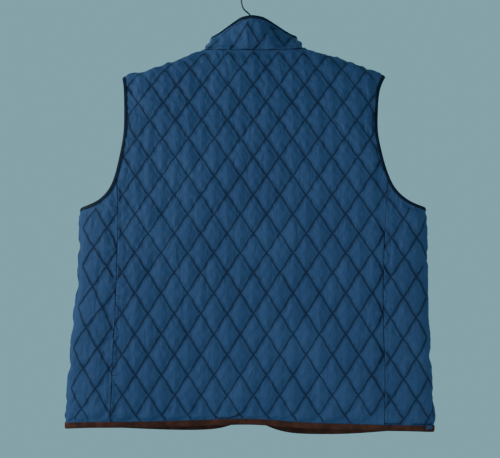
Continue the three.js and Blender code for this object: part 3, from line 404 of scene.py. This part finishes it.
def swell(piece):
    # the padding pushes the slack cloth out between its stitch lines
    mesh = piece.data
    rise = np.zeros(len(mesh.vertices), np.float32)
    mesh.attributes["rise"].data.foreach_get("value", rise)
    held = piece.vertex_groups.new(name="held")
    held.add([int(i) for i in np.nonzero(rise < quilting["heldRise"])[0]], 1.0, "REPLACE")
    start = readPoints(mesh)
    cloth = piece.modifiers.new("padding", "CLOTH")
    settings = cloth.settings
    settings.vertex_group_mass = "held"
    settings.quality = 4
    settings.mass = 0.12
    settings.air_damping = 2.0
    settings.tension_stiffness = 12
    settings.compression_stiffness = 12
    settings.shear_stiffness = 4
    settings.bending_stiffness = 0.35
    settings.shrink_min = quilting["shrink"]
    settings.shrink_max = quilting["shrink"]
    settings.use_pressure = True
    settings.uniform_pressure_force = quilting["pressure"]
    settings.effector_weights.gravity = 0
    cloth.collision_settings.use_collision = False
    cloth.point_cache.frame_start = 1
    cloth.point_cache.frame_end = quilting["frames"]
    for number in range(1, quilting["frames"] + 1):
        bpy.context.scene.frame_set(number)
    applyAll(piece)
    bpy.context.scene.frame_set(1)
    moved = readPoints(piece.data) - start
    length = np.linalg.norm(moved, axis=1)
    keep = np.minimum(1.0, quilting["cap"] / np.maximum(length, 1e-9))
    piece.data.vertices.foreach_set("co", (start + moved * keep[:, None]).ravel())
    piece.data.update()
    print("   moved at most", round(float(length.max()) * 1000, 2), "mm, mean",
          round(float(length[rise > 0].mean()) * 1000, 2), "mm")


def crownPadding(piece, inside):
    # fills the padding out beside its stitch lines: 4 s (1 - s) is 1 where s is a half
    mesh = piece.data
    for point, mark in zip(mesh.vertices, mesh.attributes["rise"].data):
        if mark.value <= quilting["heldRise"]:
            continue
        share = min(mark.value / quilting["crest"], 1.0)
        away = point.co - inside.find_nearest(point.co)[0]
        if away.length < quilting["wall"] * 0.5:
            continue
        point.co += away.normalized() * quilting["crown"] * 4 * share * (1 - share)


def easeFacets(piece, rounds):
    # takes the facets' ridges out of the padding, with the stitch lines held
    mesh = piece.data
    rise = np.zeros(len(mesh.vertices), np.float32)
    mesh.attributes["rise"].data.foreach_get("value", rise)
    pick(piece)
    bpy.ops.object.mode_set(mode="EDIT")
    bpy.ops.mesh.select_mode(type="VERT")
    bpy.ops.object.mode_set(mode="OBJECT")
    for vertex in mesh.vertices:
        vertex.select = bool(rise[vertex.index] > quilting["heldRise"])
    bpy.ops.object.mode_set(mode="EDIT")
    bpy.ops.mesh.vertices_smooth(factor=0.5, repeat=rounds)
    bpy.ops.object.mode_set(mode="OBJECT")


def quiltedPanel(node, name, material, rounds):
    piece = copyNode(node, name)
    outer, inside, stitches = markRise(piece)
    points = [v.co.copy() for v in piece.data.vertices]
    divideFaces(piece, outer, quilting["cuts"])
    markStitches(piece, points, stitches)
    crownPadding(piece, inside)
    easeFacets(piece, rounds)
    swell(piece)
    easeFacets(piece, quilting["lastRounds"])
    smoothShaded(piece, quilting["smoothAngle"])
    mount(piece, [node], material)
    print(name, "made:", len(piece.data.polygons), "faces")
    return piece


def clothFinish():
    finish = Finish("quiltedCloth", IOR=1.32, Specular_IOR_Level=0.3, Specular_Tint=(0.8, 0.9, 1.0, 1))
    where, (x, y, z) = finish.place()
    gap = finish.attribute("stitchGap")                             # millimetres
    seam = finish.attribute("seam")
    patches = finish.noise(where, navy["patchScale"], 3.0)
    streaks = finish.noise(finish.stretched(where, (1.0, 1.0, 0.3)), navy["streakScale"], 3.0, 0.6, 0.8)
    # painted shade: the cloth turns to the groove shade colour within a few millimetres of each stitch line
    paintedShade = finish.mixed(gap.between(*navy["paintedShadeReach"]) * 0.75 + 0.25, navy["paintedGrooveShade"], navy["cloth"])
    light = finish.mixed((patches * 0.5 + streaks * 0.6).between(0.42, 0.8) * 0.7, paintedShade, navy["worn"])
    line = 1 - gap.between(navy["lineWidth"] * 0.6, navy["lineWidth"] * 1.25)
    dashes = (z * (2 * math.pi / navy["stitchLength"])).sine() * 0.15 + 0.85
    finish.feed("Base Color", finish.mixed(line * dashes, light, navy["thread"]))
    finish.feed("Roughness", 0.56 + patches * 0.12 + line * 0.15)
    thread = 2 * math.pi / navy["weavePitch"]
    weave = (x * thread).sine() * (z * thread).sine()
    creases = finish.noise(finish.stretched(where, (1.0, 1.0, 0.42)), navy["creaseScale"], 3.0, 0.55, 0.8)
    small = finish.noise(finish.stretched(where, (1.0, 1.0, 0.6)), navy["puckerScale"], 2.0, 0.5, 0.4)
    nearStitch = 1 - gap.between(*navy["puckerReach"])
    nearSeam = seam.between(0.05, 0.9)
    rows = finish.noise(finish.stretched(where, (0.25, 0.25, 1.6)), navy["rowScale"], 1.0)
    soft = finish.bump(creases, navy["creaseDepth"], 0.75)
    puckers = finish.bump(small * nearStitch + rows * nearSeam * 2.4, navy["puckerDepth"], 0.8, soft)
    finish.feed("Normal", finish.bump(weave * 0.5 - line * 3, navy["weaveDepth"], 0.5, puckers))
    return finish.material


print("quilting the panels")
quiltCloth = clothFinish()
back = quiltedPanel("back", "quiltedBack", quiltCloth, quilting["panelRounds"])
frontLeft = quiltedPanel("front_left", "quiltedFrontLeft", quiltCloth, quilting["panelRounds"])
frontRight = quiltedPanel("front_right", "quiltedFrontRight", quiltCloth, quilting["panelRounds"])
collar = quiltedPanel("collar", "quiltedCollar", quiltCloth, quilting["collarRounds"])


# bindings

tapes = {
    "brown": (0.0600, 0.0200, 0.0120, 1),
    "brownDark": (0.0300, 0.0100, 0.0065, 1),
    "navy": (0.0036, 0.0090, 0.0230, 1),
    "navyDark": (0.0018, 0.0045, 0.0120, 1),
    "brownRoughness": 0.8,
    "navyRoughness": 0.55,
    "ribPitch": 0.0009,
    "ribDepth": 0.0001,
    "patchScale": 60.0,
    "rippleScale": 130.0,
    "rippleDepth": 0.0016,
    "faceAngle": 60,           # degrees, the most between two facets that become one
    "shapeAngle": 80,
    "levels": 2,               # of rounding
}


def tapeFinish(name, plain, dark, roughness):
    finish = Finish(name, IOR=1.4, Specular_IOR_Level=0.15)
    where, (x, y, z) = finish.place()
    patches = finish.noise(where, tapes["patchScale"], 3.0)
    finish.feed("Base Color", finish.mixed(patches.between(0.3, 0.7), dark, plain))
    finish.feed("Roughness", roughness + patches * 0.12)
    ribs = ((x + y - z) * (2 * math.pi / tapes["ribPitch"])).sine()
    ripple = finish.noise(finish.stretched(where, (1.0, 1.0, 0.25)), tapes["rippleScale"], 2.0)
    soft = finish.bump(ripple, tapes["rippleDepth"], 0.5)
    finish.feed("Normal", finish.bump(ribs, tapes["ribDepth"], 0.3, soft))
    return finish.material


def roundedCopy(node, name, levels):
    piece = copyNode(node, name)
    bpy.ops.object.mode_set(mode="EDIT")
    bpy.ops.mesh.select_all(action="SELECT")
    bpy.ops.mesh.tris_convert_to_quads(face_threshold=math.radians(tapes["faceAngle"]),
                                       shape_threshold=math.radians(tapes["shapeAngle"]))
    bpy.ops.object.mode_set(mode="OBJECT")
    smoother = piece.modifiers.new("soft", "SUBSURF")
    smoother.levels = levels
    smoother.render_levels = levels
    applyAll(piece)
    bpy.ops.object.shade_smooth()
    return piece


navyTape = tapeFinish("navyTape", tapes["navy"], tapes["navyDark"], tapes["navyRoughness"])
brownTape = tapeFinish("brownTape", tapes["brown"], tapes["brownDark"], tapes["brownRoughness"])
bindings = {}
for node, name, slot, material in (
    ("hem_binding", "hemBinding", "brown_binding", brownTape),
    ("armhole_binding_left", "armholeBindingLeft", "navy_binding", navyTape),
    ("armhole_binding_right", "armholeBindingRight", "navy_binding", navyTape),
    ("collar_binding", "collarBinding", "navy_binding", navyTape),
):
    bindings[node] = roundedCopy(node, name, tapes["levels"])
    mount(bindings[node], [node], material)
print("bindings made")


# sewn seams between the panels: the pressed seam allowance as a roll in the groove, coloured dark with
# painted shade for the groove's shadow

seams = {
    "reach": 0.0014,           # rims closer than this are sewn together
    "radius": {"side": 0.0006, "collar": 0.0008},
    # painted shade: the colour of the seam groove's shadow, given to the roll
    "color": (0.0060, 0.0160, 0.0420, 1),
    "probe": 0.003,            # between the points of a rim that are measured
    "spacing": 0.006,          # between the points of a seam
    "jump": 2.6,               # spacings from one point of a seam to the next, at most
    "fewest": 6,               # points in a seam, or it is left out
    "evenings": 3,
    "pairs": (
        ("seamShadeSideLeft", "back", "front_left", "side"),
        ("seamShadeSideRight", "back", "front_right", "side"),
        ("seamShadeCollarBack", "collar", "back", "collar"),
        ("seamShadeCollarLeft", "collar", "front_left", "collar"),
        ("seamShadeCollarRight", "collar", "front_right", "collar"),
    ),
}


def seamMiddles(first, second):
    # points midway between the two panels where they are sewn together
    tree = BVHTree.FromPolygons(
        [v.co.copy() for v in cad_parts[second].data.vertices],
        [tuple(p.vertices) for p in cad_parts[second].data.polygons])
    middles = []
    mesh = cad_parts[first].data
    for edge in mesh.edges:
        a, b = (mesh.vertices[v].co for v in edge.vertices)
        steps = max(1, int((b - a).length / seams["probe"]))
        for k in range(steps + 1):
            point = a + (b - a) * (k / steps)
            spot, _, _, gap = tree.find_nearest(point)
            if gap is not None and gap < seams["reach"]:
                middles.append((point + spot) / 2)
    return middles


def seamPath(middles):
    # one point for each cell of spacing, chained by nearness
    cells = {}
    for point in middles:
        key = tuple(round(c / seams["spacing"]) for c in point)
        cells.setdefault(key, []).append(point)
    spots = [sum(group, Vector()) / len(group) for group in cells.values()]
    chains = []
    left = set(range(len(spots)))
    while left:
        start = max(left, key=lambda i: (spots[i].z, i))
        left.discard(start)
        chain = [start]
        for end in (0, -1):
            while left:
                last = spots[chain[end]]
                best = min(left, key=lambda i: (spots[i] - last).length)
                if (spots[best] - last).length > seams["spacing"] * seams["jump"]:
                    break
                left.discard(best)
                if end == 0:
                    chain.insert(0, best)
                else:
                    chain.append(best)
        if len(chain) >= seams["fewest"]:
            chains.append([spots[i] for i in chain])
    return chains


def evenedPath(chain):
    path = list(chain)
    for _ in range(seams["evenings"]):
        middle = [(path[i - 1] + path[i] * 2 + path[i + 1]) / 4 for i in range(1, len(path) - 1)]
        path = [path[0]] + middle + [path[-1]]
    return path


# the roll is a dark piece laid in the groove where its shadow falls, coloured as painted shade
def seamShadeRoll(name, first, second, radius, material):
    chains = [evenedPath(chain) for chain in seamPath(seamMiddles(first, second))]
    if not chains:
        print("   no seam found for", name)
        return
    line = bpy.data.curves.new(name, "CURVE")
    line.dimensions = "3D"
    line.bevel_depth = radius
    line.bevel_resolution = 2
    line.use_fill_caps = True
    for chain in chains:
        spline = line.splines.new("POLY")
        spline.points.add(len(chain) - 1)
        for point, spot in zip(spline.points, chain):
            point.co = (*spot, 1)
    roll = bpy.data.objects.new(name, line)
    bpy.context.scene.collection.objects.link(roll)
    pick(roll)
    bpy.ops.object.convert(target="MESH")
    roll = bpy.context.object
    bpy.ops.object.shade_smooth()
    roll.data.materials.clear()
    roll.data.materials.append(material)
    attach(roll, "root")
    print("   ", name, len(chains), "chains", sum(len(c) for c in chains), "points")


# painted shade: the roll's two colours, the seams' colour and the navy tape's, stand for the shadow in the
# seam groove
seamShadeFinish = tapeFinish("seamShadeFinish", seams["color"], tapes["navy"], tapes["navyRoughness"])
for name, first, second, kind in seams["pairs"]:
    seamShadeRoll(name, first, second, seams["radius"][kind], seamShadeFinish)
print("seams made")


# press studs

studs = {
    "count": 6,
    "sides": 40,
    "color": (0.012, 0.018, 0.034, 1),
    "scuffed": (0.030, 0.040, 0.060, 1),
    "scuffScale": 900.0,
    "capFacing": 0.9,          # faces that turn this much to the front are the cap
    "bevelShare": 0.62,        # of the stud's depth
    "bevelSegments": 5,
    "ringShare": 0.18,         # of its radius
    "dishShare": 0.06,
    "dishDepth": 0.00035,
    "smoothAngle": 40,         # degrees
}


def studFinish():
    finish = Finish("studLacquer", Metallic=0.7, IOR=1.5)
    where, _ = finish.place()
    scuffs = finish.noise(where, studs["scuffScale"], 2.0)
    finish.feed("Base Color", finish.mixed(scuffs, studs["color"], studs["scuffed"]))
    finish.feed("Roughness", 0.25 + scuffs * 0.15)
    return finish.material


def pressStud(number, material):
    node = "press_stud_%d" % number
    points = readPoints(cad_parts[node].data)
    middle = points.mean(axis=0)
    normal = Vector(np.linalg.svd(points - middle)[2][2])
    if normal.y < 0:
        normal = -normal
    along = (points - middle) @ np.array(normal)
    radius = np.linalg.norm((points - middle) - along[:, None] * np.array(normal), axis=1).max()
    depth = float(along.max() - along.min())
    low = Vector(middle) + normal * float(along.min())
    bpy.ops.object.select_all(action="DESELECT")
    bpy.ops.mesh.primitive_cylinder_add(vertices=studs["sides"], radius=float(radius), depth=depth,
                                        location=low + normal * (depth / 2))
    piece = bpy.context.object
    piece.name = "pressStud%d" % number
    piece.rotation_mode = "QUATERNION"
    piece.rotation_quaternion = normal.to_track_quat("Z", "Y")
    bpy.ops.object.mode_set(mode="EDIT")
    bpy.ops.mesh.select_all(action="DESELECT")
    bpy.ops.object.mode_set(mode="OBJECT")
    for face in piece.data.polygons:
        face.select = face.normal.z > studs["capFacing"]
    bpy.ops.object.mode_set(mode="EDIT")
    bpy.ops.mesh.select_mode(type="FACE")
    bpy.ops.mesh.bevel(offset=depth * studs["bevelShare"], segments=studs["bevelSegments"], affect="EDGES")
    bpy.ops.mesh.inset(thickness=float(radius) * studs["ringShare"], depth=0)
    bpy.ops.mesh.inset(thickness=float(radius) * studs["dishShare"], depth=-studs["dishDepth"])
    bpy.ops.object.mode_set(mode="OBJECT")
    bpy.ops.object.transform_apply(location=True, rotation=True, scale=True)
    smoothShaded(piece, studs["smoothAngle"])
    mount(piece, [node], material)


studLacquer = studFinish()
for number in range(1, studs["count"] + 1):
    pressStud(number, studLacquer)
print("press studs made")


# hanger and hook

hanging = {
    "barColor": (0.014, 0.014, 0.015, 1),
    "barWorn": (0.022, 0.022, 0.024, 1),
    "barGrain": 700.0,
    "barAngle": 35,            # degrees
    "wireColor": (0.018, 0.019, 0.022, 1),
    "wireWorn": (0.040, 0.040, 0.045, 1),
    "wireGrain": 600.0,
    "wireLevels": 2,           # of rounding
    "wireSwell": 0.00016,      # makes up for what rounding takes off the wire
}


def barFinish():
    finish = Finish("mouldedBar", IOR=1.48)
    where, _ = finish.place()
    grain = finish.noise(where, hanging["barGrain"], 3.0)
    finish.feed("Base Color", finish.mixed(grain, hanging["barColor"], hanging["barWorn"]))
    finish.feed("Roughness", 0.38 + grain * 0.2)
    finish.feed("Normal", finish.bump(grain, 0.0002, 0.3))
    return finish.material


def wireFinish():
    finish = Finish("coatedWire", Metallic=0.85)
    where, _ = finish.place()
    drawn = finish.noise(finish.stretched(where, (1.0, 1.0, 0.1)), hanging["wireGrain"], 3.0)
    finish.feed("Base Color", finish.mixed(drawn, hanging["wireColor"], hanging["wireWorn"]))
    finish.feed("Roughness", 0.28 + drawn * 0.2)
    finish.feed("Normal", finish.bump(drawn, 0.0001, 0.25))
    return finish.material


bar = copyNode("hanger", "hangerBar")
smoothShaded(bar, hanging["barAngle"])
mount(bar, ["hanger"], barFinish())
hook = roundedCopy("hook", "hangerHook", hanging["wireLevels"])
bpy.ops.object.mode_set(mode="EDIT")
bpy.ops.mesh.select_all(action="SELECT")
bpy.ops.transform.shrink_fatten(value=hanging["wireSwell"])
bpy.ops.object.mode_set(mode="OBJECT")
mount(hook, ["hook"], wireFinish())
print("hanger and hook made")


# floor, light and camera

studio = {
    "floorDrop": 1.1,
    "floorSize": 4.0,
    "floorColor": (0.30, 0.50, 0.57, 1),
    "skyColor": (0.215, 0.425, 0.495, 1),
    "skyStrength": 1.0,
    "cameraPlace": (-0.0037, -1.386, -0.464),
    "pixelsPerUnit": 736.5,    # of the photo, for a metre seen from a metre
    "photoWidth": 500,
    "sensorWidth": 36,
    "aim": (0, 0, -0.45),
}
lamps = (
    {"name": "keyLight", "place": (-3.2, -1.5, 0.35), "size": 1.3, "watts": 142},
    {"name": "fillLight", "place": (1.5, -1.9, -1.2), "size": 1.8, "watts": 27},
    {"name": "farLight", "place": (-0.4, 2.4, 0.1), "size": 2.4, "watts": 22},
)

lowest = cadBounds[0][2]
bpy.ops.mesh.primitive_plane_add(size=studio["floorSize"], location=(0, 0, lowest - studio["floorDrop"]))
floor = bpy.context.object
floor.name = "studioFloor"
bpy.ops.object.transform_apply(location=True, rotation=True, scale=True)
floorFinish = Finish("paleFloor", Roughness=0.8)
floorFinish.feed("Base Color", studio["floorColor"])
floor.data.materials.append(floorFinish.material)

for lamp in lamps:
    bpy.ops.object.light_add(type="AREA", location=lamp["place"])
    light = bpy.context.object
    light.name = lamp["name"]
    light.data.size = lamp["size"]
    light.data.energy = lamp["watts"]
    light.rotation_euler = (Vector(studio["aim"]) - Vector(lamp["place"])).to_track_quat("-Z", "Y").to_euler()

sky = bpy.data.worlds.new("studioSky")
bpy.context.scene.world = sky
sky.use_nodes = True
sky.node_tree.nodes["Background"].inputs[0].default_value = studio["skyColor"]
sky.node_tree.nodes["Background"].inputs[1].default_value = studio["skyStrength"]

bpy.ops.object.camera_add(location=studio["cameraPlace"], rotation=(math.pi / 2, 0, 0))
camera = bpy.context.object
camera.name = "photoCamera"
camera.data.sensor_width = studio["sensorWidth"]
camera.data.lens = studio["pixelsPerUnit"] * camera.data.sensor_width / studio["photoWidth"]
bpy.context.scene.camera = camera
print("studio set")
